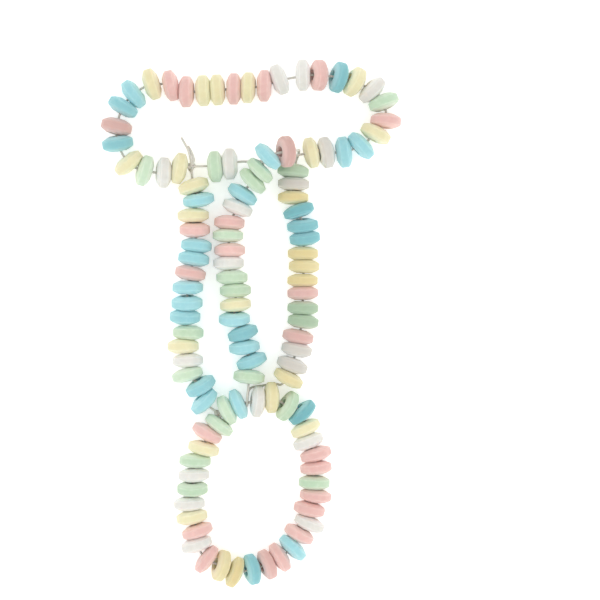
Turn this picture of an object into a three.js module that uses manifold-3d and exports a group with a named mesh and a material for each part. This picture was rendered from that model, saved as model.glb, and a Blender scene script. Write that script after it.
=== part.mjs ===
// Candy handcuffs laid out flat: pressed-sugar ring beads threaded on thin elastic. The upper cuff is
// a closed string, a side strand ties it to the lower cuff, and a closed chain string loops through
// both cuffs. Millimetres, +Z up, origin under the middle of the whole; the upper cuff is at +Y.
import * as THREE from 'three';
import { mergeVertices } from 'three/addons/utils/BufferGeometryUtils.js';
import Module from 'manifold-3d';

const wasm = await Module();
wasm.setup();

// One bead: a thick ring whose two faces slope from a flat ring round the hole to a narrower rim.
const BEAD_RADIUS = 5.0;
const RING_RADIUS = 2.5;
const HOLE_RADIUS = 1.75;
const BEAD_HALF = 2.2;
const RIM_HALF = 1.05;
const BEAD_SIDES = 8;
const HOLE_SIDES = 4;
const BEAD_REST = BEAD_RADIUS;

// Beads differ a little in size, by a seeded draw.
const THICKNESS_RANGE = [0.96, 1.04];
const RADIUS_RANGE = [0.985, 1.015];
const SEED = 20240607;
const DRAW_FACTOR = 16807;
const DRAW_LIMIT = 2147483647;

// How beads sit on the thread.
const FUSED_BITE = 0.16;
const BEAD_GAP = 0.25;
const FOLLOW_SLOPE = 0.6;
const HEADING_REACH = 1.2;
const FIRST_GUESS = 4.9;
const SPACING_ROUNDS = 10;
const LARGEST_SHIFT = 2;
const EDGE_SAMPLES = 16;
const STEPS_A_SPAN = 12;
const TENSION = 0.5;

// What one step of each mark does to a bead.
const LEAN_STEP = THREE.MathUtils.degToRad(5);
const NOD_STEP = THREE.MathUtils.degToRad(5);
const PUSH_STEP = 0.4;
const GAP_STEP = 0.2;

// The elastic.
const THREAD_RADIUS = 0.4;
const THREAD_SIDES = 4;
const THREAD_STEP = 1.4;
const BARE_STRETCH = 7.5;
const KNOT_RADIUS = 0.8;

// Corners of a solid closer than this are one corner.
const SAME_CORNER = 1e-4;

// The routes' own zero lies off the middle of the whole by this much.
const ROUTE_CENTRE = [3.6, -1.2];

// Where each thread runs, by hand: x, y and, off the usual height, z.
const UPPER_KNOT = [-15.8, 49.4];
const LOWER_KNOT = [-6.8, -30.2];
const UPPER_CUFF_ROUTE = [
  UPPER_KNOT, [-21, 48.2], [-26.5, 47.4], [-32.3, 48.7], [-36.9, 52.1], [-39.8, 56.9],
  [-40.2, 62.3], [-38.4, 67.6], [-34.4, 72.3], [-28.7, 75.2], [-22.3, 74.8], [-16.1, 73.9],
  [-7.1, 74.2], [3.2, 75], [10.3, 76.5], [17.4, 78.2], [26.8, 78.9], [33.9, 77.7], [41.3, 75],
  [46.1, 70.6], [47.4, 65.5], [44.2, 60.6], [38.7, 56.5], [33.2, 54.5], [27.7, 54], [22.3, 53.9],
  [19, 53.1, 6.2], [15.2, 52.6, 5.6], [9, 51.7, 3.6], [4.5, 51.2, 3.2], [0, 51.1, 4.6], [-3.9, 50.2],
  [-10, 49.7],
];
const SIDE_STRAND_ROUTE = [
  UPPER_KNOT, [-15.6, 47.1], [-14.8, 41.9], [-14.3, 34.2], [-14.3, 25.8], [-15.3, 16.8],
  [-16.8, 8.1], [-17.4, -1.6], [-17.4, -11.3], [-16.1, -17.7], [-13.2, -22.6], [-10.3, -26.5],
  LOWER_KNOT,
];
const CHAIN_ROUTE = [
  [15.2, 53.6, 13.3], [9.7, 52.5, 13.4], [6.7, 47.9, 11], [3.5, 43.9, 7.9], [0.2, 40.3, 5.5],
  [-1.8, 35.8], [-3.5, 31], [-3.9, 25.8], [-3.5, 20.6], [-2.9, 15.5], [-1.9, 9.7], [-1.3, 3.2],
  [-0.5, -2.6], [1.3, -7.1], [2.6, -11.6], [3.2, -15.2], [2.9, -18.7, 5], [2.7, -21.9, 6],
  [2.4, -24.2, 6.6], [2.3, -26, 6.4], [2.3, -27.2, 6], [2.3, -27.7, 5], [2.3, -27.2, 4],
  [2.3, -26, 3.6], [2.4, -24.5, 2.9], [2.7, -22.9, 1.9], [3.8, -21.9, 1.1], [5.6, -21.6, 0.7],
  [7.5, -21.3, 0.6], [10.5, -20.6, 0.8], [12.3, -20.9, 2.4], [13.6, -20.7, 4.6],
  [15.8, -18.4], [17.3, -14.2], [18.2, -9.7], [19.2, -4.8], [20, 0], [20.3, 4.8], [20.2, 9.7],
  [20.2, 14.5], [20.3, 19], [20.3, 23.5], [20.5, 28.1], [19.7, 32.6], [18.4, 36.8], [17.3, 40.6],
  [17.3, 44.8], [17.6, 48.7], [18.2, 51.6, 4.4], [18.8, 53.1, 4.7], [19, 54.3, 6.2], [19, 54.5, 8.8],
  [18.1, 54, 11.8],
];
const LOWER_CUFF_ROUTE = [
  LOWER_KNOT, [-7.8, -34.4], [-11.4, -37.8], [-13.4, -42.8], [-14.5, -47.6], [-15.2, -53.1],
  [-15.5, -58.2], [-15.5, -63.3], [-14.6, -68.1], [-12.6, -72.5], [-10, -76.8], [-6.7, -79.7],
  [-2.6, -80.8], [1.9, -80.8], [6, -79.7], [10.1, -78.2], [13.9, -75.6], [17.3, -72.4],
  [20.1, -68.8], [21.8, -64.7], [23, -59.9], [23.7, -55.5], [24, -50.7], [24, -45.9], [23.3, -41.8],
  [21.9, -37.7], [20.7, -33.4], [18.9, -29.5], [15.2, -26.7], [11.1, -25], [6.7, -25.4],
  [2.9, -25.7], [-0, -26.4], [-4, -28.4],
];
const LONG_TAIL_ROUTE = [
  [...UPPER_KNOT, 5.2], [-15.8, 51.6, 5.9], [-16.6, 54.6, 5.4], [-18, 57.2, 3.8], [-19, 59, 2],
];
const SHORT_TAIL_ROUTE = [
  [...UPPER_KNOT, 5.2], [-14.9, 51.5, 5.7], [-15.6, 54, 5.2], [-16.8, 56.1, 4],
];

// Each string lists its beads in order. A capital is a colour: B blue, G green, P pink, W white,
// Y yellow. "+" fuses a bead to the one before it, and ~n leaves n mm of bare thread. The letters
// after a colour move that bead by so many steps: a or c leans it anticlockwise or clockwise,
// l or r pushes it left or right, f or b nods it forward or back, and g widens the gap before it.
const STRANDS = [
  {
    name: 'upper_cuff',
    route: UPPER_CUFF_ROUTE,
    closed: true,
    tied: true,
    start: 4,
    thickness: 1.06,
    slack: 0.3,
    beads: 'Yc5r1f2+Wc2f2 Gf2g2+Yc2l1f2 Bc2r1f2g4+Pc1r1 Ba1g4+Bl1 Ya2l2g3 Pa4l2g2+Pa1r1 Y+Y Pc1+Yc2 '
      + 'Pc3r1+Wa1l1 Wc1l1g9+Pb4 Bb4g2+Yc2b4 Wc2b2+Gc2 Pa4+Ya4 Ba3l1g1+Bc1l1 Wa2f2+Ya2 ~22.3 Wc2+Gl1',
  },
  {
    name: 'side_strand',
    route: SIDE_STRAND_ROUTE,
    closed: false,
    tied: true,
    start: 6.3,
    thickness: 0.985,
    slack: 0,
    beads: 'Ya2+Ba1l3b2 Yr2+Pr1b2 Bl1+B Pr1+Ba2r1 Ba1b2+Br1b2 Gl2+Yr2 Wc1l1+Gc1r2 Bc1l3b2+Ba1r2b2',
  },
  {
    name: 'chain',
    route: CHAIN_ROUTE,
    closed: true,
    tied: false,
    start: 0.3,
    thickness: 0.96,
    slack: 0,
    beads: 'Pf4+Bf1 Gc2f3g2+Gc1f3 Ba1l1f3g2+Wl2 Pa2g1+G Pc1l1g1+Wc1r1 Gc2+Gc1l1 Y+Bc1r2b2 Bc1l2b1+Bc2r1b1 '
      + 'Ba2l2b1+G ~28.4 Ya1+Wc1l1 Wg1+Pl1 Gr1g2+G Pg1+Y Yr1g1+Y Ba2r1f2+Bc1f2 B+Yc3l1 W+Gl1',
  },
  {
    name: 'lower_cuff',
    route: LOWER_CUFF_ROUTE,
    closed: true,
    tied: true,
    start: 3.3,
    thickness: 0.949,
    slack: 0,
    beads: 'Gc4l2+Pa4r1 Ya1l3+Ga2r1 Wa2+Ga1b2 Wa1r2+Ya1 Pl2+Wc2r3 Pa3r2+Ya1l2b4 Yc4r1b2+Bc1b4 Pb4+Pc1b2 '
      + 'Br1b2+Pa1l2 Wc1r2+Pl1 Pr2+G Pa1r1+Pa1r2 Wl1+Ya2 Ba2r2f2+Gl2f4 Yf2+Wc2l2f2 Bl1g4+Gl1',
  },
];

const CANDY_COLOURS = { B: '#9fd8e6', G: '#c3e2c0', P: '#f0bdb9', W: '#ece9e6', Y: '#f0e3b0' };
const ELASTIC_COLOUR = '#e4e4e2';

const UP = new THREE.Vector3(0, 0, 1);
const LIFT = new THREE.Vector3(-ROUTE_CENTRE[0], -ROUTE_CENTRE[1], 0);

// A route's points as vectors about the middle of the whole.
function routePoints(route) {
  return route.map(([x, y, z = BEAD_REST]) => new THREE.Vector3(x, y, z).add(LIFT));
}

// A smooth line through a route, measured along its length.
class Course {
  constructor(route, closed) {
    const curve = new THREE.CatmullRomCurve3(routePoints(route), closed, 'catmullrom', TENSION);
    const spans = closed ? route.length : route.length - 1;
    this.closed = closed;
    this.line = curve.getPoints(spans * STEPS_A_SPAN);
    this.along = [0];
    for (let i = 1; i < this.line.length; i += 1) {
      this.along.push(this.along[i - 1] + this.line[i].distanceTo(this.line[i - 1]));
    }
    this.length = this.along.at(-1);
  }

  at(s) {
    const place = this.closed
      ? THREE.MathUtils.euclideanModulo(s, this.length)
      : THREE.MathUtils.clamp(s, 0, this.length);
    const next = Math.max(1, this.along.findIndex((a) => a >= place));
    const share = (place - this.along[next - 1]) / (this.along[next] - this.along[next - 1]);
    return this.line[next - 1].clone().lerp(this.line[next], share);
  }

  heading(s) {
    const middle = this.closed
      ? s
      : THREE.MathUtils.clamp(s, HEADING_REACH, this.length - HEADING_REACH);
    return this.at(middle + HEADING_REACH).sub(this.at(middle - HEADING_REACH)).normalize();
  }
}

// Seeded draws between 0 and 1.
let draw = SEED;
function roll([low, high]) {
  draw = (draw * DRAW_FACTOR) % DRAW_LIMIT;
  return low + (high - low) * (draw / DRAW_LIMIT);
}

// A bead's half thickness at a distance from its axis.
function halfAt(bead, distance) {
  const ring = (RING_RADIUS * bead.radius) / BEAD_RADIUS;
  if (distance <= ring) {
    return bead.half;
  }
  const rim = (RIM_HALF * bead.half) / BEAD_HALF;
  return bead.half + ((rim - bead.half) * (distance - ring)) / (bead.radius - ring);
}

// Points on the two edges, ring and rim, of one side of a bead.
function edgePoints(bead, side) {
  const across = bead.axis.clone().cross(UP).normalize();
  const over = bead.axis.clone().cross(across);
  const edges = [
    [(RING_RADIUS * bead.radius) / BEAD_RADIUS, bead.half],
    [bead.radius, (RIM_HALF * bead.half) / BEAD_HALF],
  ];
  const points = [];
  for (const [radius, half] of edges) {
    for (let i = 0; i < EDGE_SAMPLES; i += 1) {
      const angle = (2 * Math.PI * i) / EDGE_SAMPLES;
      points.push(bead.at.clone()
        .addScaledVector(bead.axis, side * half)
        .addScaledVector(across, radius * Math.cos(angle))
        .addScaledVector(over, radius * Math.sin(angle)));
    }
  }
  return points;
}

// The smallest gap, along the axis, that one bead's edge points keep to the other's face.
function gapOver(bead, points, side) {
  let least = Infinity;
  for (const point of points) {
    const off = point.sub(bead.at);
    const axial = off.dot(bead.axis);
    const distance = off.addScaledVector(bead.axis, -axial).length();
    if (distance < bead.radius) {
      least = Math.min(least, side * axial - halfAt(bead, distance));
    }
  }
  return least;
}

function gapBetween(back, front) {
  return Math.min(gapOver(back, edgePoints(front, -1), 1), gapOver(front, edgePoints(back, 1), -1));
}

// A bead at a place along its course, turned and moved by its marks.
function placeBead(course, s, bead) {
  const heading = course.heading(s);
  const turn = Math.atan2(heading.y, heading.x) + LEAN_STEP * (bead.marks.a - bead.marks.c);
  const rise = Math.asin(heading.z) * FOLLOW_SLOPE + NOD_STEP * (bead.marks.f - bead.marks.b);
  const axis = new THREE.Vector3(
    Math.cos(turn) * Math.cos(rise),
    Math.sin(turn) * Math.cos(rise),
    Math.sin(rise),
  );
  const left = new THREE.Vector3(-Math.sin(turn), Math.cos(turn), 0);
  const at = course.at(s).addScaledVector(left, PUSH_STEP * (bead.marks.l - bead.marks.r));
  const rim = (RIM_HALF * bead.half) / BEAD_HALF;
  const rest = bead.radius * Math.cos(rise) + rim * Math.abs(Math.sin(rise));
  at.z = Math.max(at.z, rest);
  return { ...bead, s, at, axis };
}

// The bead that a word such as "Yc3r2" stands for.
function readBead(word, thickness) {
  const marks = { a: 0, c: 0, l: 0, r: 0, f: 0, b: 0, g: 0 };
  for (const [, letter, count] of word.matchAll(/([a-z])(\d+)/g)) {
    marks[letter] = Number(count);
  }
  const half = BEAD_HALF * thickness * roll(THICKNESS_RANGE);
  const radius = BEAD_RADIUS * roll(RADIUS_RANGE);
  return { colour: word[0], marks, half, radius };
}

// Threads the beads of a strand one after another, each as close to the last as its gap asks.
function threadBeads(course, strand) {
  const beads = [];
  let bare = 0;
  for (const run of strand.beads.split(' ')) {
    if (run[0] === '~') {
      bare = Number(run.slice(1));
      continue;
    }
    run.split('+').forEach((word, order) => {
      const fused = order > 0;
      const bead = readBead(word, strand.thickness);
      let s = strand.start;
      if (beads.length > 0) {
        const last = beads.at(-1);
        const gap = fused ? -FUSED_BITE : BEAD_GAP + strand.slack + GAP_STEP * bead.marks.g + bare;
        s = last.s + FIRST_GUESS + bare;
        for (let i = 0; i < SPACING_ROUNDS; i += 1) {
          const now = bare > 0
            ? s - last.s - last.half - bead.half
            : gapBetween(last, placeBead(course, s, bead));
          s += THREE.MathUtils.clamp(gap - now, -LARGEST_SHIFT, LARGEST_SHIFT);
        }
      }
      beads.push({ ...placeBead(course, s, bead), fused });
      bare = 0;
    });
  }
  return beads;
}

// A geometry as a closed solid that can be joined and cut.
function toSolid(geometry) {
  const bare = geometry.clone();
  bare.deleteAttribute('normal');
  bare.deleteAttribute('uv');
  const merged = mergeVertices(bare, SAME_CORNER);
  return new wasm.Manifold(new wasm.Mesh({
    numProp: 3,
    vertProperties: Float32Array.from(merged.attributes.position.array),
    triVerts: Uint32Array.from(merged.index.array),
  }));
}

function toGeometry(solid) {
  const mesh = solid.getMesh();
  const geometry = new THREE.BufferGeometry();
  geometry.setAttribute('position', new THREE.BufferAttribute(mesh.vertProperties, 3));
  geometry.setIndex(new THREE.BufferAttribute(mesh.triVerts, 1));
  geometry.computeVertexNormals();
  return geometry;
}

// The plain bead, axis along Y, a flat of its rim facing -Z. The flats touch the true round rim,
// and the hole has the area of the true round one.
function beadGeometry() {
  const corner = 1 / Math.cos(Math.PI / BEAD_SIDES);
  const profile = [
    [0, -BEAD_HALF],
    [RING_RADIUS * corner, -BEAD_HALF],
    [BEAD_RADIUS * corner, -RIM_HALF],
    [BEAD_RADIUS * corner, RIM_HALF],
    [RING_RADIUS * corner, BEAD_HALF],
    [0, BEAD_HALF],
  ].map(([radius, y]) => new THREE.Vector2(radius, y));
  const drum = new THREE.LatheGeometry(profile, BEAD_SIDES, Math.PI / BEAD_SIDES);
  const slice = (2 * Math.PI) / HOLE_SIDES;
  const holeCorner = HOLE_RADIUS * Math.sqrt(slice / Math.sin(slice));
  const holeLength = 3 * BEAD_HALF;
  const hole = new THREE.CylinderGeometry(holeCorner, holeCorner, holeLength, HOLE_SIDES);
  return toGeometry(toSolid(drum).subtract(toSolid(hole)));
}

// Where a placed bead stands, with its own size.
function beadMatrix(bead) {
  const upright = UP.clone().addScaledVector(bead.axis, -UP.dot(bead.axis)).normalize();
  const across = bead.axis.clone().cross(upright);
  const round = bead.radius / BEAD_RADIUS;
  const size = new THREE.Vector3(round, bead.half / BEAD_HALF, round);
  return new THREE.Matrix4().makeBasis(across, bead.axis, upright).scale(size).setPosition(bead.at);
}

// The beads of one node, built about the first bead's centre.
function beadMesh(name, beads, plainBead) {
  const centre = beads[0].at;
  const home = new THREE.Matrix4().makeTranslation(-centre.x, -centre.y, -centre.z);
  const solids = beads.map((bead) => {
    const matrix = home.clone().multiply(beadMatrix(bead));
    return toSolid(plainBead.clone().applyMatrix4(matrix));
  });
  const joined = solids.reduce((whole, solid) => whole.add(solid));
  const material = new THREE.MeshStandardMaterial({
    color: CANDY_COLOURS[beads[0].colour],
    roughness: 0.9,
    metalness: 0,
  });
  const mesh = new THREE.Mesh(toGeometry(joined), material);
  mesh.name = name;
  mesh.position.copy(centre);
  return mesh;
}

// A strand's beads as nodes: one for each fused pair or single bead.
function strandGroup(name, beads, plainBead) {
  const sets = [];
  for (const bead of beads) {
    if (bead.fused) {
      sets.at(-1).push(bead);
    } else {
      sets.push([bead]);
    }
  }
  const group = new THREE.Group();
  sets.forEach((set, i) => {
    const number = String(i + 1).padStart(2, '0');
    group.add(beadMesh(`${name}_beads_${number}`, set, plainBead));
  });
  return group;
}

// A thread's points: the beads' centres and its knots, with the course's own points where it is bare.
function threadPoints(course, beads, tied) {
  const stops = beads.map((bead) => ({ s: bead.s, at: bead.at }));
  if (tied) {
    stops.push({ s: course.length, at: course.at(course.length) });
  }
  if (course.closed) {
    stops.push({ s: beads[0].s + course.length, at: beads[0].at });
  } else {
    stops.unshift({ s: 0, at: course.at(0) });
  }
  const points = [stops[0].at];
  for (let i = 1; i < stops.length; i += 1) {
    const from = stops[i - 1];
    const way = stops[i].s - from.s;
    const parts = way > BARE_STRETCH ? Math.round(way / THREAD_STEP) : 1;
    for (let k = 1; k < parts; k += 1) {
      points.push(course.at(from.s + (way * k) / parts));
    }
    points.push(stops[i].at);
  }
  if (course.closed) {
    points.pop();
  }
  return points;
}

// A curve whose even steps fall on its own points.
class ThreadCurve extends THREE.CatmullRomCurve3 {
  getPointAt(share, target) {
    return this.getPoint(share, target);
  }

  getTangentAt(share, target) {
    return this.getTangent(share, target);
  }
}

function loopSolid(points) {
  const curve = new ThreadCurve(points, true, 'catmullrom', TENSION);
  return toSolid(new THREE.TubeGeometry(curve, points.length, THREAD_RADIUS, THREAD_SIDES, true));
}

function lineSolid(points) {
  const section = new THREE.Shape();
  for (let i = 0; i < THREAD_SIDES; i += 1) {
    const angle = (2 * Math.PI * i) / THREAD_SIDES;
    const corner = [THREAD_RADIUS * Math.cos(angle), THREAD_RADIUS * Math.sin(angle)];
    if (i === 0) {
      section.moveTo(...corner);
    } else {
      section.lineTo(...corner);
    }
  }
  const curve = new ThreadCurve(points, false, 'catmullrom', TENSION);
  const options = { steps: points.length - 1, extrudePath: curve, bevelEnabled: false };
  return toSolid(new THREE.ExtrudeGeometry(section, options));
}

function knotSolid(at) {
  return toSolid(new THREE.IcosahedronGeometry(KNOT_RADIUS, 0).translate(at.x, at.y, at.z));
}

function elasticMesh(name, solids) {
  const material = new THREE.MeshStandardMaterial({
    color: ELASTIC_COLOUR,
    roughness: 0.6,
    metalness: 0,
  });
  const joined = solids.reduce((whole, solid) => whole.add(solid));
  const mesh = new THREE.Mesh(toGeometry(joined), material);
  mesh.name = name;
  return mesh;
}

const group = new THREE.Group();
const plainBead = beadGeometry();
const threads = {};
for (const strand of STRANDS) {
  const course = new Course(strand.route, strand.closed);
  const beads = threadBeads(course, strand);
  group.add(strandGroup(strand.name, beads, plainBead));
  threads[strand.name] = threadPoints(course, beads, strand.tied);
}

const [upperKnot, lowerKnot] = routePoints([UPPER_KNOT, LOWER_KNOT]);
group.add(elasticMesh('cuff_elastic', [
  loopSolid(threads.upper_cuff),
  lineSolid(threads.side_strand),
  loopSolid(threads.lower_cuff),
  lineSolid(routePoints(LONG_TAIL_ROUTE)),
  lineSolid(routePoints(SHORT_TAIL_ROUTE)),
  knotSolid(upperKnot),
  knotSolid(lowerKnot),
]));
group.add(elasticMesh('chain_elastic', [loopSolid(threads.chain)]));

export default group;
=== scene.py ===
# Candy handcuffs lying flat: pressed-sugar ring beads on thin elastic. Two closed cuffs, a side
# strand tied between them, and a closed chain of beads that is looped through both. Metres.
import bisect
import math

import bmesh
import bpy
from mathutils import Matrix, Vector, noise


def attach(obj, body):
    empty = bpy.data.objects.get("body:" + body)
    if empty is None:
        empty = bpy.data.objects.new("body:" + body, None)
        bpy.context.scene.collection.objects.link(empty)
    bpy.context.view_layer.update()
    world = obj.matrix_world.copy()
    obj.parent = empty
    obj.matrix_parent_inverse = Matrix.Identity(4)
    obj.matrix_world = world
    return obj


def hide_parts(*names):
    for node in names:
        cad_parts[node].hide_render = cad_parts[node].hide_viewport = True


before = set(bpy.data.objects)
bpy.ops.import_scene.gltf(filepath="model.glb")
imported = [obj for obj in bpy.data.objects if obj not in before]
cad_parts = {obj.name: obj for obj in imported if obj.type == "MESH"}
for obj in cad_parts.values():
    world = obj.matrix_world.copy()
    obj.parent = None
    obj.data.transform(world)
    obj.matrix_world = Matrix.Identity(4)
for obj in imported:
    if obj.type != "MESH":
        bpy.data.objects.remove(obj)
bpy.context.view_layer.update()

# The camera looks straight down on the flat cuffs, as the photograph faces them. At the height of
# the beads' middle its frame is 193.5 mm wide.
FRAME_WIDTH = 0.1935
FRAME_MIDDLE = (0.01576, 0.00765)
BEAD_MIDDLE_HEIGHT = 0.005
LENS_MM = 100.0
SENSOR_MM = 36.0

camera_data = bpy.data.cameras.new("camera")
camera_data.lens = LENS_MM
camera_data.sensor_width = SENSOR_MM
camera = bpy.data.objects.new("camera", camera_data)
camera.location = (*FRAME_MIDDLE, BEAD_MIDDLE_HEIGHT + FRAME_WIDTH * LENS_MM / SENSOR_MM)
bpy.context.scene.collection.objects.link(camera)
bpy.context.scene.camera = camera
bpy.context.scene.view_settings.view_transform = "Standard"


# The table is a plain white sheet that glows a little, so only faint contact shadows show. Studio
# light: a big soft box low on the right, a weaker one at the upper left, and an even white surround.
class Socket:
    """A node's output that can be used in sums."""

    def __init__(self, finish, output):
        self.finish = finish
        self.output = output

    def sum(self, operation, first, second):
        settings = {"operation": operation}
        return self.finish.add("ShaderNodeMath", settings, {0: first, 1: second})

    def __add__(self, other):
        return self.sum("ADD", self, other)

    def __radd__(self, other):
        return self.sum("ADD", other, self)

    def __sub__(self, other):
        return self.sum("SUBTRACT", self, other)

    def __rsub__(self, other):
        return self.sum("SUBTRACT", other, self)

    def __mul__(self, other):
        return self.sum("MULTIPLY", self, other)

    def __rmul__(self, other):
        return self.sum("MULTIPLY", other, self)


class Finish:
    """A material, built node by node."""

    def __init__(self, name):
        self.material = bpy.data.materials.new(name)
        self.material.use_nodes = True
        self.nodes = self.material.node_tree.nodes
        self.links = self.material.node_tree.links
        self.nodes.clear()

    def add(self, kind, settings=None, values=None, output=0):
        node = self.nodes.new(kind)
        for name, value in (settings or {}).items():
            setattr(node, name, value)
        for name, value in (values or {}).items():
            if isinstance(value, Socket):
                self.links.new(value.output, node.inputs[name])
            else:
                node.inputs[name].default_value = value
        return Socket(self, node.outputs[output])

    def blend(self, share, first, second):
        values = {0: share, 6: first, 7: second}
        return self.add("ShaderNodeMix", {"data_type": "RGBA"}, values, 2)

    def step(self, value, low, high):
        settings = {"interpolation_type": "SMOOTHSTEP"}
        values = {"Value": value, "From Min": low, "From Max": high}
        return self.add("ShaderNodeMapRange", settings, values)

    def noise(self, place, size, detail=2.0):
        values = {"Vector": place, "Scale": 1 / size, "Detail": detail}
        return self.add("ShaderNodeTexNoise", None, values, "Fac")

    def place(self):
        return self.add("ShaderNodeTexCoord", output="Object")

    def bump(self, height, depth, under=None):
        values = {"Height": height, "Distance": depth, "Strength": 1.0}
        if under:
            values["Normal"] = under
        return self.add("ShaderNodeBump", None, values)

    def close(self, values):
        surface = self.add("ShaderNodeBsdfPrincipled", None, values)
        end = self.nodes.new("ShaderNodeOutputMaterial")
        self.links.new(surface.output, end.inputs["Surface"])
        return self.material


def colour(text):
    """The linear colour of a web colour."""
    parts = [int(text[i:i + 2], 16) / 255 for i in (0, 2, 4)]
    linear = [part / 12.92 if part <= 0.04045 else ((part + 0.055) / 1.055) ** 2.4 for part in parts]
    return (*linear, 1.0)


def new_piece(name, mesh):
    piece = bpy.data.objects.new(name, mesh)
    bpy.context.scene.collection.objects.link(piece)
    return piece


TABLE_REACH = 1.5
TABLE_GLOW = 0.35
table_shape = bmesh.new()
bmesh.ops.create_grid(table_shape, x_segments=1, y_segments=1, size=TABLE_REACH)
table_mesh = bpy.data.meshes.new("table")
table_shape.to_mesh(table_mesh)
table_shape.free()
table = new_piece("table", table_mesh)
table_finish = Finish("table_white")
table_colour = {"Base Color": colour("f8f8f7"), "Roughness": 0.8}
table_glow = {"Emission Color": colour("ffffff"), "Emission Strength": TABLE_GLOW}
table.data.materials.append(table_finish.close(table_colour | table_glow))


SOFT_BOX_SIZE = 0.8
SURROUND_STRENGTH = 1.02


def soft_box(name, place, power):
    light = bpy.data.lights.new(name, "AREA")
    light.shape = "SQUARE"
    light.size = SOFT_BOX_SIZE
    light.energy = power
    lamp = bpy.data.objects.new(name, light)
    lamp.location = place
    lamp.rotation_euler = (-Vector(place)).to_track_quat("-Z", "Y").to_euler()
    bpy.context.scene.collection.objects.link(lamp)


soft_box("main_light", (0.28, -0.34, 0.75), 1.1)
soft_box("fill_light", (-0.45, 0.4, 0.7), 0.4)

surround = bpy.data.worlds.new("surround")
surround.use_nodes = True
background = surround.node_tree.nodes["Background"]
background.inputs["Color"].default_value = (1.0, 1.0, 1.0, 1.0)
background.inputs["Strength"].default_value = SURROUND_STRENGTH
bpy.context.scene.world = surround


# The elastic is a thin white stretch thread. Each run follows a given route: the cuffs
# and the chain are closed, and the side strand is tied to both cuffs at their knots. A point is x, y
# and, off the beads' usual height, z, about the routes' own zero.
ROUTE_CENTRE = (0.0036, -0.0012)
UPPER_KNOT = (-0.0158, 0.0494)
LOWER_KNOT = (-0.0068, -0.0302)
UPPER_CUFF_ROUTE = [
    UPPER_KNOT, (-0.0210, 0.0482), (-0.0265, 0.0474), (-0.0323, 0.0487), (-0.0369, 0.0521),
    (-0.0398, 0.0569), (-0.0402, 0.0623), (-0.0384, 0.0676), (-0.0344, 0.0723), (-0.0287, 0.0752),
    (-0.0223, 0.0748), (-0.0161, 0.0739), (-0.0071, 0.0742), (0.0032, 0.0750), (0.0103, 0.0765),
    (0.0174, 0.0782), (0.0268, 0.0789), (0.0339, 0.0777), (0.0413, 0.0750), (0.0461, 0.0706),
    (0.0474, 0.0655), (0.0442, 0.0606), (0.0387, 0.0565), (0.0332, 0.0545), (0.0277, 0.0540),
    (0.0223, 0.0539), (0.0190, 0.0531, 0.0062), (0.0152, 0.0526, 0.0056), (0.0090, 0.0517, 0.0036),
    (0.0045, 0.0512, 0.0032), (0.0000, 0.0511, 0.0046), (-0.0039, 0.0502), (-0.0100, 0.0497),
]
SIDE_STRAND_ROUTE = [
    UPPER_KNOT, (-0.0156, 0.0471), (-0.0148, 0.0419), (-0.0143, 0.0342), (-0.0143, 0.0258),
    (-0.0153, 0.0168), (-0.0168, 0.0081), (-0.0174, -0.0016), (-0.0174, -0.0113),
    (-0.0161, -0.0177), (-0.0132, -0.0226), (-0.0103, -0.0265), LOWER_KNOT,
]
CHAIN_ROUTE = [
    (0.0152, 0.0536, 0.0133), (0.0097, 0.0525, 0.0134), (0.0067, 0.0479, 0.0110),
    (0.0035, 0.0439, 0.0079), (0.0002, 0.0403, 0.0055), (-0.0018, 0.0358), (-0.0035, 0.0310),
    (-0.0039, 0.0258), (-0.0035, 0.0206), (-0.0029, 0.0155), (-0.0019, 0.0097), (-0.0013, 0.0032),
    (-0.0005, -0.0026), (0.0013, -0.0071), (0.0026, -0.0116), (0.0032, -0.0152),
    (0.0029, -0.0187, 0.0050), (0.0027, -0.0219, 0.0060), (0.0024, -0.0242, 0.0066),
    (0.0023, -0.0260, 0.0064), (0.0023, -0.0272, 0.0060), (0.0023, -0.0277, 0.0050),
    (0.0023, -0.0272, 0.0040), (0.0023, -0.0260, 0.0036), (0.0024, -0.0245, 0.0029),
    (0.0027, -0.0229, 0.0019), (0.0038, -0.0219, 0.0011), (0.0056, -0.0216, 0.0007),
    (0.0075, -0.0213, 0.0006), (0.0105, -0.0206, 0.0008), (0.0123, -0.0209, 0.0024),
    (0.0136, -0.0207, 0.0046), (0.0158, -0.0184), (0.0173, -0.0142), (0.0182, -0.0097),
    (0.0192, -0.0048), (0.0200, 0.0000), (0.0203, 0.0048), (0.0202, 0.0097), (0.0202, 0.0145),
    (0.0203, 0.0190), (0.0203, 0.0235), (0.0205, 0.0281), (0.0197, 0.0326), (0.0184, 0.0368),
    (0.0173, 0.0406), (0.0173, 0.0448), (0.0176, 0.0487), (0.0182, 0.0516, 0.0044),
    (0.0188, 0.0531, 0.0047), (0.0190, 0.0543, 0.0062), (0.0190, 0.0545, 0.0088),
    (0.0181, 0.0540, 0.0118),
]
LOWER_CUFF_ROUTE = [
    LOWER_KNOT, (-0.0078, -0.0344), (-0.0114, -0.0378), (-0.0134, -0.0428), (-0.0145, -0.0476),
    (-0.0152, -0.0531), (-0.0155, -0.0582), (-0.0155, -0.0633), (-0.0146, -0.0681),
    (-0.0126, -0.0725), (-0.0100, -0.0768), (-0.0067, -0.0797), (-0.0026, -0.0808),
    (0.0019, -0.0808), (0.0060, -0.0797), (0.0101, -0.0782), (0.0139, -0.0756), (0.0173, -0.0724),
    (0.0201, -0.0688), (0.0218, -0.0647), (0.0230, -0.0599), (0.0237, -0.0555), (0.0240, -0.0507),
    (0.0240, -0.0459), (0.0233, -0.0418), (0.0219, -0.0377), (0.0207, -0.0334), (0.0189, -0.0295),
    (0.0152, -0.0267), (0.0111, -0.0250), (0.0067, -0.0254), (0.0029, -0.0257), (0.0000, -0.0264),
    (-0.0040, -0.0284),
]
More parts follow.
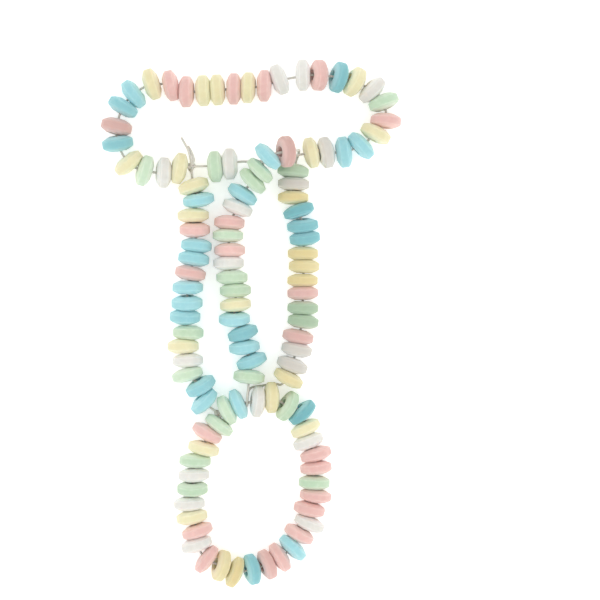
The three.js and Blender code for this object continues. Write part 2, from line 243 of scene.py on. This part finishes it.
LONG_TAIL_ROUTE = [
    (*UPPER_KNOT, 0.0052), (-0.0158, 0.0516, 0.0059), (-0.0166, 0.0546, 0.0054),
    (-0.0180, 0.0572, 0.0038), (-0.0190, 0.0590, 0.0020),
]
SHORT_TAIL_ROUTE = [
    (*UPPER_KNOT, 0.0052), (-0.0149, 0.0515, 0.0057), (-0.0156, 0.0540, 0.0052),
    (-0.0168, 0.0561, 0.0040),
]
BEAD_RADIUS = 0.005
STEPS_A_SPAN = 12
TENSION = 0.5
HEADING_REACH = 0.0012


def route_points(route):
    points = []
    for point in route:
        height = point[2] if len(point) == 3 else BEAD_RADIUS
        points.append(Vector((point[0] - ROUTE_CENTRE[0], point[1] - ROUTE_CENTRE[1], height)))
    return points


def smooth_line(points, closed, steps):
    """Points along the smooth line through the given points."""
    count = len(points)
    spans = count if closed else count - 1
    line = []
    for span in range(spans):
        start = points[span]
        end = points[(span + 1) % count]
        before = points[span - 1] if closed or span > 0 else 2 * start - end
        after = points[(span + 2) % count] if closed or span + 2 < count else 2 * end - start
        leave = (end - before) * TENSION
        arrive = (after - start) * TENSION
        for step in range(steps):
            t = step / steps
            bend = 2 * start - 2 * end + leave + arrive
            turn = -3 * start + 3 * end - 2 * leave - arrive
            line.append(start + leave * t + turn * t * t + bend * t * t * t)
    line.append(points[0].copy() if closed else points[-1].copy())
    return line


class Course:
    """A route's smooth line, measured along its length."""

    def __init__(self, route, closed):
        self.closed = closed
        self.line = smooth_line(route_points(route), closed, STEPS_A_SPAN)
        self.along = [0.0]
        for i in range(1, len(self.line)):
            self.along.append(self.along[-1] + (self.line[i] - self.line[i - 1]).length)
        self.length = self.along[-1]

    def at(self, s):
        place = s % self.length if self.closed else min(max(s, 0.0), self.length)
        step = max(1, bisect.bisect_left(self.along, place))
        share = (place - self.along[step - 1]) / (self.along[step] - self.along[step - 1])
        return self.line[step - 1].lerp(self.line[step], share)

    def heading(self, s):
        middle = s if self.closed else min(max(s, HEADING_REACH), self.length - HEADING_REACH)
        return (self.at(middle + HEADING_REACH) - self.at(middle - HEADING_REACH)).normalized()


# The beads are threaded one after another, each as close to the last as its string says, and every
# one is a little thicker or thinner and a little larger or smaller than the next, as pressed sugar is.
# A capital is a colour: B blue, G green, P pink, W white, Y yellow. "+" fuses a bead to the one
# before it, and ~n leaves n mm of bare thread. The letters after a colour move that bead by so many
# steps: a or c leans it anticlockwise or clockwise, l or r pushes it left or right, f or b nods it
# forward or back, and g widens the gap before it. The tones say, bead by bead, whether its colour is
# drawn pale (p), as usual (.), deep (d) or very deep (D); the deep tones are painted shade on beads
# that lie in shade, such as the chain's right run.
STRANDS = {
    "upper_cuff": {
        "route": UPPER_CUFF_ROUTE, "closed": True, "tied": True, "start": 0.004,
        "thickness": 1.06, "slack": 0.0003,
        "beads": (
            "Yc5r1f2+Wc2f2 Gf2g2+Yc2l1f2 Bc2r1f2g4+Pc1r1 Ba1g4+Bl1 Ya2l2g3 Pa4l2g2+Pa1r1 Y+Y Pc1+Yc2 "
            "Pc3r1+Wa1l1 Wc1l1g9+Pb4 Bb4g2+Yc2b4 Wc2b2+Gc2 Pa4+Ya4 Ba3l1g1+Bc1l1 Wa2f2+Ya2 ~22.3 Wc2+Gl1"
        ),
        "tones_and_shade": "..p.ddd............D.d.....d...",
    },
    "side_strand": {
        "route": SIDE_STRAND_ROUTE, "closed": False, "tied": True, "start": 0.0063,
        "thickness": 0.985, "slack": 0.0,
        "beads": (
            "Ya2+Ba1l3b2 Yr2+Pr1b2 Bl1+B Pr1+Ba2r1 Ba1b2+Br1b2 Gl2+Yr2 Wc1l1+Gc1r2 Bc1l3b2+Ba1r2b2"
        ),
        "tones_and_shade": ".p.p...pp..p.pdp",
    },
    "chain": {
        "route": CHAIN_ROUTE, "closed": True, "tied": False, "start": 0.0003,
        "thickness": 0.96, "slack": 0.0,
        "beads": (
            "Pf4+Bf1 Gc2f3g2+Gc1f3 Ba1l1f3g2+Wl2 Pa2g1+G Pc1l1g1+Wc1r1 Gc2+Gc1l1 Y+Bc1r2b2 "
            "Bc1l2b1+Bc2r1b1 Ba2l2b1+G ~28.4 Ya1+Wc1l1 Wg1+Pl1 Gr1g2+G Pg1+Y Yr1g1+Y Ba2r1f2+Bc1f2 "
            "B+Yc3l1 W+Gl1"
        ),
        # The chain's right run lies in shade: its deep tones are painted shade.
        "tones_and_shade": "D......pp.p.ppdpd.dDDdDDdDDDDDDDDd",
    },
    "lower_cuff": {
        "route": LOWER_CUFF_ROUTE, "closed": True, "tied": True, "start": 0.0033,
        "thickness": 0.949, "slack": 0.0,
        "beads": (
            "Gc4l2+Pa4r1 Ya1l3+Ga2r1 Wa2+Ga1b2 Wa1r2+Ya1 Pl2+Wc2r3 Pa3r2+Ya1l2b4 Yc4r1b2+Bc1b4 Pb4+Pc1b2 "
            "Br1b2+Pa1l2 Wc1r2+Pl1 Pr2+G Pa1r1+Pa1r2 Wl1+Ya2 Ba2r2f2+Gl2f4 Yf2+Wc2l2f2 Bl1g4+Gl1"
        ),
        "tones_and_shade": "ppp....pp..dDdd.pp.......pD.d.pp",
    },
}
RING_RADIUS = 0.0025
HOLE_RADIUS = 0.00175
BEAD_HALF = 0.0022
RIM_HALF = 0.00105
THICKNESS_RANGE = (0.96, 1.04)
RADIUS_RANGE = (0.985, 1.015)
SEED = 20240607
DRAW_FACTOR = 16807
DRAW_LIMIT = 2147483647
FUSED_BITE = 0.00016
BEAD_GAP = 0.00025
FOLLOW_SLOPE = 0.6
FIRST_GUESS = 0.0049
SPACING_ROUNDS = 10
LARGEST_SHIFT = 0.002
EDGE_SAMPLES = 16
LEAN_STEP = math.radians(5)
NOD_STEP = math.radians(5)
PUSH_STEP = 0.0004
GAP_STEP = 0.0002
UP = Vector((0.0, 0.0, 1.0))


class Draws:
    """Seeded draws, the same on each run."""

    state = SEED

    def within(self, limits):
        self.state = self.state * DRAW_FACTOR % DRAW_LIMIT
        return limits[0] + (limits[1] - limits[0]) * self.state / DRAW_LIMIT


class Bead:
    """One bead: its colour, its marks, its size, and its place once it is threaded."""

    def __init__(self, word, tone, thickness, draws):
        self.colour = word[0]
        self.tone = tone
        self.marks = dict.fromkeys("aclrfbg", 0)
        for letter, count in zip(word[1::2], word[2::2]):
            self.marks[letter] = int(count)
        self.half = BEAD_HALF * thickness * draws.within(THICKNESS_RANGE)
        self.radius = BEAD_RADIUS * draws.within(RADIUS_RANGE)
        self.ring = RING_RADIUS * self.radius / BEAD_RADIUS
        self.rim = RIM_HALF * self.half / BEAD_HALF

    def put(self, course, s):
        heading = course.heading(s)
        turn = math.atan2(heading.y, heading.x) + LEAN_STEP * (self.marks["a"] - self.marks["c"])
        rise = math.asin(heading.z) * FOLLOW_SLOPE + NOD_STEP * (self.marks["f"] - self.marks["b"])
        level = math.cos(rise)
        self.s = s
        self.axis = Vector((math.cos(turn) * level, math.sin(turn) * level, math.sin(rise)))
        left = Vector((-math.sin(turn), math.cos(turn), 0.0))
        self.at = course.at(s) + left * (PUSH_STEP * (self.marks["l"] - self.marks["r"]))
        rest = self.radius * level + self.rim * abs(math.sin(rise))
        self.at.z = max(self.at.z, rest)

    def half_at(self, distance):
        if distance <= self.ring:
            return self.half
        return self.half + (self.rim - self.half) * (distance - self.ring) / (self.radius - self.ring)

    def edge_points(self, side):
        across = self.axis.cross(UP).normalized()
        over = self.axis.cross(across)
        for radius, half in ((self.ring, self.half), (self.radius, self.rim)):
            for i in range(EDGE_SAMPLES):
                angle = 2 * math.pi * i / EDGE_SAMPLES
                sideways = across * math.cos(angle) + over * math.sin(angle)
                yield self.at + self.axis * (side * half) + sideways * radius

    def gap_over(self, points, side):
        least = math.inf
        for point in points:
            off = point - self.at
            axial = off.dot(self.axis)
            distance = (off - self.axis * axial).length
            if distance < self.radius:
                least = min(least, side * axial - self.half_at(distance))
        return least


def gap_between(back, front):
    return min(back.gap_over(front.edge_points(-1), 1), front.gap_over(back.edge_points(1), -1))


def thread_beads(course, strand, draws):
    """The beads of a strand in sets: a fused pair, or a bead alone.

    Each bead starts a guess away from the last, and is then shifted until its gap is right.
    """
    tones_and_shade = iter(strand["tones_and_shade"])
    sets = []
    last = None
    bare = 0.0
    for run in strand["beads"].split():
        if run[0] == "~":
            bare = float(run[1:]) / 1000
            continue
        for order, word in enumerate(run.split("+")):
            bead = Bead(word, next(tones_and_shade), strand["thickness"], draws)
            s = strand["start"]
            if last:
                gap = BEAD_GAP + strand["slack"] + GAP_STEP * bead.marks["g"] + bare
                if order > 0:
                    gap = -FUSED_BITE
                s = last.s + FIRST_GUESS + bare
                for _ in range(SPACING_ROUNDS):
                    bead.put(course, s)
                    now = s - last.s - last.half - bead.half if bare > 0 else gap_between(last, bead)
                    s += min(max(gap - now, -LARGEST_SHIFT), LARGEST_SHIFT)
            bead.put(course, s)
            if order > 0:
                sets[-1].append(bead)
            else:
                sets.append([bead])
            last = bead
            bare = 0.0
    return sets


draws = Draws()
for strand in STRANDS.values():
    strand["course"] = Course(strand["route"], strand["closed"])
    strand["sets"] = thread_beads(strand["course"], strand, draws)


# A bead is one pressed ring of coloured sugar: a flat ring round the hole, a cone down to the rim on
# either side, and a straight band round the rim, with edges that the press leaves slightly rounded.
# Beads rub against each other on the string, which wears their surfaces a little.
TURN_STEPS = 48
EDGE_ROUNDING = 0.00025
EDGE_STEPS = 3
SHARP_EDGE = math.radians(20)
SLOPE_BULGE = 0.00012
SLOPE_STEPS = 3
FACE_SWELL = 0.00009
BAND_SWELL = 0.00006


def face_section():
    """Half the section: the hole's edge, the flat ring, and the slightly full slope to the rim."""
    face_half = BEAD_HALF + FACE_SWELL
    band_half = RIM_HALF + BAND_SWELL
    points = [(HOLE_RADIUS, face_half)]
    for step in range(SLOPE_STEPS + 1):
        share = step / SLOPE_STEPS
        radius = RING_RADIUS + (BEAD_RADIUS - RING_RADIUS) * share
        half = face_half + (band_half - face_half) * share
        points.append((radius, half + SLOPE_BULGE * math.sin(math.pi * share)))
    return points


def pressed_ring():
    """The plain bead's mesh, axis along Y."""
    shape = bmesh.new()
    front = face_section()
    section = front + [(radius, -half) for radius, half in reversed(front)]
    corners = [shape.verts.new((radius, height, 0.0)) for radius, height in section]
    sides = [shape.edges.new((corners[i - 1], corners[i])) for i in range(len(corners))]
    bmesh.ops.spin(
        shape, geom=corners + sides, cent=(0, 0, 0), axis=(0, 1, 0), angle=2 * math.pi,
        steps=TURN_STEPS, use_merge=True, use_duplicate=False,
    )
    bmesh.ops.remove_doubles(shape, verts=shape.verts, dist=1e-6)
    bmesh.ops.recalc_face_normals(shape, faces=shape.faces)
    edges = [edge for edge in shape.edges if edge.calc_face_angle(0.0) > SHARP_EDGE]
    bmesh.ops.bevel(
        shape, geom=edges, offset=EDGE_ROUNDING, offset_type="OFFSET", segments=EDGE_STEPS,
        profile=0.5, affect="EDGES", material=-1,
    )
    mesh = bpy.data.meshes.new("pressed_ring")
    shape.to_mesh(mesh)
    shape.free()
    return mesh


CLOUD_SIZE = 0.0016
CLOUD_DEPTH = 0.00012
SPECKLE_SIZE = 0.00035
SPECKLE_DEPTH = 0.00006
GRAIN_SIZE = 0.00012
GRAIN_DEPTH = 0.00002
PIT_SPACING = 0.0011
PIT_EDGE = (0.06, 0.2)
BAND_EDGE_SPREAD = 0.012
SLOPE_LIGHT_FADE = 0.35
POWDER_LIMITS = (0.55, 1.15)
POWDER_SHARE = 0.4
SLOPE_LIGHT_SHARE = 0.6
TONE_SHARE = 0.35
SLOPE_KEPT_LIT = 0.6
SCATTER_DEPTH = 0.002


def sugar(name, deep_shade, plain, pale):
    """Matt pressed sugar: cloudy colour, powdery edges, fine grain and a few pits, with painted light on
    the slopes and painted shade on beads with deep tones.
    """
    finish = Finish(name)
    place = finish.place()
    own = finish.add("ShaderNodeAttribute", {"attribute_name": "bead_place"}, output="Vector")
    tone = finish.add("ShaderNodeAttribute", {"attribute_name": "bead_tone_and_shade"}, output="Fac")
    cloud = finish.noise(place, CLOUD_SIZE, 3.0)
    speckle = finish.noise(place, SPECKLE_SIZE)
    grain = finish.noise(place, GRAIN_SIZE)
    pit_values = {"Vector": place, "Scale": 1 / PIT_SPACING, "Randomness": 1.0}
    pit_distance = finish.add("ShaderNodeTexVoronoi", None, pit_values, "Distance")
    pit = 1 - finish.step(pit_distance, *PIT_EDGE)
    split = finish.add("ShaderNodeSeparateXYZ", None, {0: own}, 1)
    axial = finish.add("ShaderNodeMath", {"operation": "ABSOLUTE"}, {0: split})
    off_band = axial - (RIM_HALF + BAND_SWELL) / BEAD_HALF
    band_edge = 1 - finish.step(off_band * off_band, 0.0, BAND_EDGE_SPREAD)
    # Painted light: the cone slopes are drawn paler, standing in for the light that falls on them, and
    # stay paler on beads painted in shade.
    painted_slope_light = finish.step(off_band, 0.0, SLOPE_LIGHT_FADE)
    powder = finish.step(cloud + 0.35 * speckle + 0.25 * band_edge, *POWDER_LIMITS)
    paleness_and_slope_light = POWDER_SHARE * powder + SLOPE_LIGHT_SHARE * painted_slope_light + TONE_SHARE * finish.step(tone, 0.0, 1.0)
    usual = finish.blend(paleness_and_slope_light, colour(plain), colour(pale))
    # Painted shade: beads with deep tones are drawn towards the deep colour, less so on their slopes.
    painted_shade_and_deep_tone = finish.step(0 - tone, 0.0, 1.0) * (1 - SLOPE_KEPT_LIT * painted_slope_light)
    shade = finish.blend(painted_shade_and_deep_tone, usual, colour(deep_shade))
    uneven = finish.bump(cloud, CLOUD_DEPTH)
    pitted = finish.bump(speckle - 0.8 * pit, SPECKLE_DEPTH, uneven)
    grained = finish.bump(grain, GRAIN_DEPTH, pitted)
    roughness = 0.78 + 0.14 * cloud
    return finish.close({
        "Base Color": shade, "Roughness": roughness, "Normal": grained,
        "Subsurface Weight": 0.8, "Subsurface Radius": (1.0, 0.9, 0.8),
        "Subsurface Scale": SCATTER_DEPTH,
        "Specular IOR Level": 0.35,
    })


# Each sugar's name, and its deep, plain and pale colours. The deep colour is painted shade for beads
# that lie in shade; the pale colour gives powder, pale tones and the painted light on the slopes.
SUGARS = {
    "B": ("blue", "7ab3b9", "9dced4", "b8e2e6"),
    "G": ("green", "a8bda4", "bed4ba", "dcead6"),
    "P": ("pink", "c9a8a1", "ddb8b2", "f0cfc8"),
    "W": ("white", "c8c4bc", "dbdad4", "f4f3f0"),
    "Y": ("yellow", "d8ca9a", "dfd9b4", "f0eccb"),
}
sugars = {letter: sugar(f"sugar_{shades[0]}", *shades[1:]) for letter, shades in SUGARS.items()}
# Tone levels per letter: the deep levels are painted shade, and each bead also gets a little random tone.
TONE_AND_SHADE_LEVELS = {"p": 0.6, ".": 0.0, "d": -0.5, "D": -0.9}
TONE_RANGE = (-0.25, 0.25)
WEAR_SIZE = 0.0013
WEAR_DEPTH = 0.00016


def bead_matrix(bead):
    upright = (UP - bead.axis * UP.dot(bead.axis)).normalized()
    across = bead.axis.cross(upright)
    turned = Matrix((across, bead.axis, upright)).transposed().to_4x4()
    round_size = bead.radius / BEAD_RADIUS
    size = Matrix.Diagonal((round_size, bead.half / BEAD_HALF, round_size, 1.0))
    return Matrix.Translation(bead.at) @ turned @ size


def candy_piece(name, beads, ring_mesh, draws):
    """The beads of one node as one mesh, each with its own colour, wear and tone, whose deep steps are
    painted shade.
    """
    shape = bmesh.new()
    place_layer = shape.verts.layers.float_vector.new("bead_place")
    tone_and_shade_layer = shape.verts.layers.float.new("bead_tone_and_shade")
    letters = []
    for bead in beads:
        tone = TONE_AND_SHADE_LEVELS[bead.tone] + draws.within(TONE_RANGE)
        spin = draws.within((0.0, 2 * math.pi))
        if bead.colour not in letters:
            letters.append(bead.colour)
        old_verts = set(shape.verts)
        old_faces = set(shape.faces)
        shape.from_mesh(ring_mesh)
        verts = [vert for vert in shape.verts if vert not in old_verts]
        for vert in verts:
            vert[place_layer] = vert.co / BEAD_HALF
            vert[tone_and_shade_layer] = tone
            wear = max(0.0, noise.noise((vert.co + bead.at) / WEAR_SIZE))
            vert.co -= vert.normal * (WEAR_DEPTH * wear)
        for face in shape.faces:
            if face not in old_faces:
                face.material_index = letters.index(bead.colour)
                face.smooth = True
        matrix = bead_matrix(bead) @ Matrix.Rotation(spin, 4, "Y")
        bmesh.ops.transform(shape, matrix=matrix, verts=verts)
    mesh = bpy.data.meshes.new(name)
    shape.to_mesh(mesh)
    shape.free()
    for letter in letters:
        mesh.materials.append(sugars[letter])
    return new_piece(name, mesh)


ring_mesh = pressed_ring()
for strand_name, strand in STRANDS.items():
    for i, beads in enumerate(strand["sets"]):
        number = f"{i + 1:02d}"
        candy = candy_piece(f"{strand_name}_candy_{number}", beads, ring_mesh, draws)
        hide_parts(f"{strand_name}_beads_{number}")
        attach(candy, "root")


# The elastic that carries the beads: white stretch thread of fine fibres, drawn through each hole,
# bare where beads are missing, knotted where strings meet, with two loose ends at the upper knot.
THREAD_RADIUS = 0.0004
THREAD_STEP = 0.0014
BARE_STRETCH = 0.0075
THREAD_ROUNDNESS = 3
THREAD_SMOOTHING = 4


def thread_points(strand):
    """The thread's points: bead centres and knots, and the course's own points where it is bare."""
    course = strand["course"]
    stops = [(bead.s, bead.at) for beads in strand["sets"] for bead in beads]
    first = stops[0]
    if strand["tied"]:
        stops.append((course.length, course.at(course.length)))
    if course.closed:
        stops.append((first[0] + course.length, first[1]))
    else:
        stops.insert(0, (0.0, course.at(0.0)))
    points = [stops[0][1]]
    for (start, _), (end, place) in zip(stops, stops[1:]):
        way = end - start
        parts = round(way / THREAD_STEP) if way > BARE_STRETCH else 1
        for k in range(1, parts):
            points.append(course.at(start + way * k / parts))
        points.append(place)
    if course.closed:
        points.pop()
    return points


def thread_mesh(name, points, closed, radius):
    """A round thread along a smooth line through the points."""
    line = smooth_line(points, closed, THREAD_SMOOTHING)
    if closed:
        line.pop()
    curve = bpy.data.curves.new(name, "CURVE")
    curve.dimensions = "3D"
    curve.bevel_depth = radius
    curve.bevel_resolution = THREAD_ROUNDNESS
    curve.use_fill_caps = not closed
    spline = curve.splines.new("POLY")
    spline.points.add(len(line) - 1)
    for spot, point in zip(spline.points, line):
        spot.co = (*point, 1.0)
    spline.use_cyclic_u = closed
    holder = bpy.data.objects.new(name, curve)
    bpy.context.scene.collection.objects.link(holder)
    bpy.context.view_layer.update()
    mesh = bpy.data.meshes.new_from_object(holder)
    bpy.data.objects.remove(holder)
    bpy.data.curves.remove(curve)
    return mesh


FIBRE_SIZE = 0.0003
FIBRE_DEPTH = 0.00005
SMUDGE_SIZE = 0.003


def elastic(name):
    """White stretch thread: fine fibres, slightly darker between them."""
    finish = Finish(name)
    place = finish.place()
    fibre = finish.noise(place, FIBRE_SIZE, 3.0)
    smudge = finish.noise(place, SMUDGE_SIZE)
    lightness = finish.step(fibre + 0.3 * smudge, 0.4, 0.85)
    shade = finish.blend(lightness, colour("c4c0b6"), colour("dddad1"))
    bumps = finish.bump(fibre, FIBRE_DEPTH)
    return finish.close({
        "Base Color": shade, "Roughness": 0.5 + 0.15 * fibre, "Normal": bumps,
        "Subsurface Weight": 0.1, "Subsurface Scale": FIBRE_SIZE,
    })


KNOT_SIZE = 0.00042
KNOT_DEPTH = 1.4
KNOT_STEPS = 40


def knot_points(middle):
    """A small overhand knot pulled tight, round a place."""
    points = []
    for i in range(KNOT_STEPS):
        t = 2 * math.pi * i / KNOT_STEPS
        points.append(middle + KNOT_SIZE * Vector((
            math.sin(t) + 2 * math.sin(2 * t),
            math.cos(t) - 2 * math.cos(2 * t),
            -KNOT_DEPTH * math.sin(3 * t),
        )))
    return points


def join_meshes(name, meshes, material):
    shape = bmesh.new()
    for mesh in meshes:
        shape.from_mesh(mesh)
        bpy.data.meshes.remove(mesh)
    for face in shape.faces:
        face.smooth = True
        face.material_index = 0
    joined = bpy.data.meshes.new(name)
    shape.to_mesh(joined)
    shape.free()
    joined.materials.clear()
    joined.materials.append(material)
    return new_piece(name, joined)


elastic_finish = elastic("stretch_thread")
threads = {name: thread_points(strand) for name, strand in STRANDS.items()}
upper_knot, lower_knot = route_points([UPPER_KNOT, LOWER_KNOT])
cuff_thread = join_meshes("cuff_thread", [
    thread_mesh("upper_thread", threads["upper_cuff"], True, THREAD_RADIUS),
    thread_mesh("side_thread", threads["side_strand"], False, THREAD_RADIUS),
    thread_mesh("lower_thread", threads["lower_cuff"], True, THREAD_RADIUS),
    thread_mesh("long_tail", route_points(LONG_TAIL_ROUTE), False, THREAD_RADIUS),
    thread_mesh("short_tail", route_points(SHORT_TAIL_ROUTE), False, THREAD_RADIUS),
    thread_mesh("upper_knot", knot_points(upper_knot), True, THREAD_RADIUS),
    thread_mesh("lower_knot", knot_points(lower_knot), True, THREAD_RADIUS),
], elastic_finish)
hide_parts("cuff_elastic")
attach(cuff_thread, "root")

chain_meshes = [thread_mesh("chain_run", threads["chain"], True, THREAD_RADIUS)]
chain_thread = join_meshes("chain_thread", chain_meshes, elastic_finish)
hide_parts("chain_elastic")
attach(chain_thread, "root")
